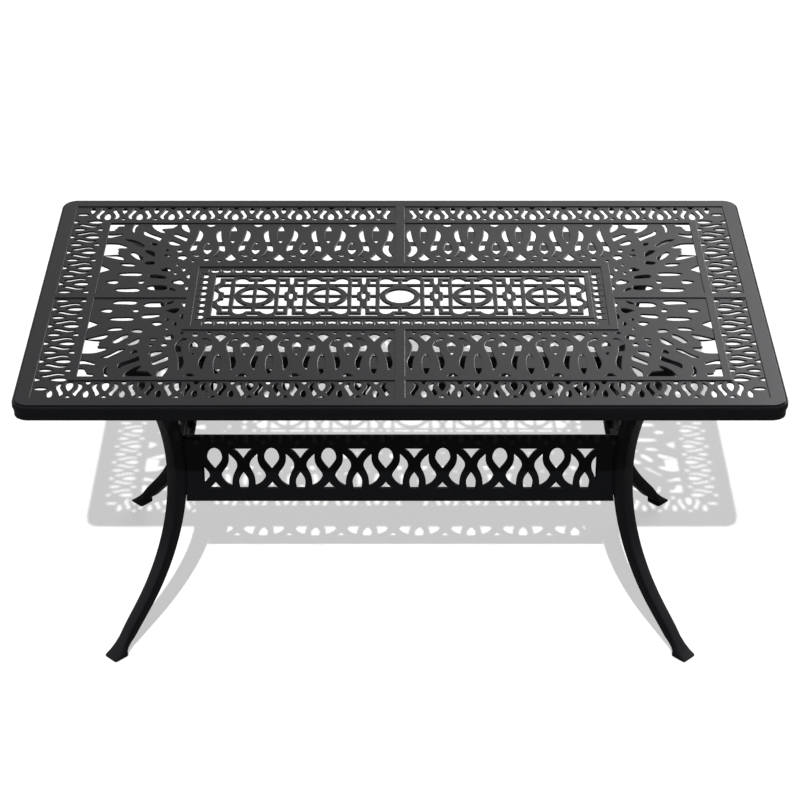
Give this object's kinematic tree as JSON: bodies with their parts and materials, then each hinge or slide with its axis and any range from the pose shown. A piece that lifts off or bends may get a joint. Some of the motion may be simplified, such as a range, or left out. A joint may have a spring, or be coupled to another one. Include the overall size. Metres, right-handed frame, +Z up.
{
  "type": "umbrella table",
  "caption": "Rectangular cast lattice patio dining table with a central umbrella hole, bowed legs and lattice stretchers.",
  "frame": {"origin": "centre of the floor rectangle under the table", "axes": "+X along the table's length, +Y to the rear, +Z up"},
  "size_m": [1.5, 0.9, 0.708],
  "materials": {
    "coated_casting": "fine-grain satin black powder coat",
    "nylon_glide": "matt moulded nylon",
    "steel_bolt": "plain zinc-plated"
  },
  "bodies": {
    "root": {"table_top": "coated_casting", "leg_front_left": "coated_casting", "foot_glide_front_left": "nylon_glide", "leg_bolts_front_left": "steel_bolt", "stretcher_bolts_front_left": "steel_bolt", "leg_front_right": "coated_casting", "foot_glide_front_right": "nylon_glide", "leg_bolts_front_right": "steel_bolt", "stretcher_bolts_front_right": "steel_bolt", "leg_rear_left": "coated_casting", "foot_glide_rear_left": "nylon_glide", "leg_bolts_rear_left": "steel_bolt", "stretcher_bolts_rear_left": "steel_bolt", "leg_rear_right": "coated_casting", "foot_glide_rear_right": "nylon_glide", "leg_bolts_rear_right": "steel_bolt", "stretcher_bolts_rear_right": "steel_bolt", "stretcher_front": "coated_casting", "stretcher_rear": "coated_casting", "stretcher_left": "coated_casting", "stretcher_right": "coated_casting"}
  },
  "joints": []
}
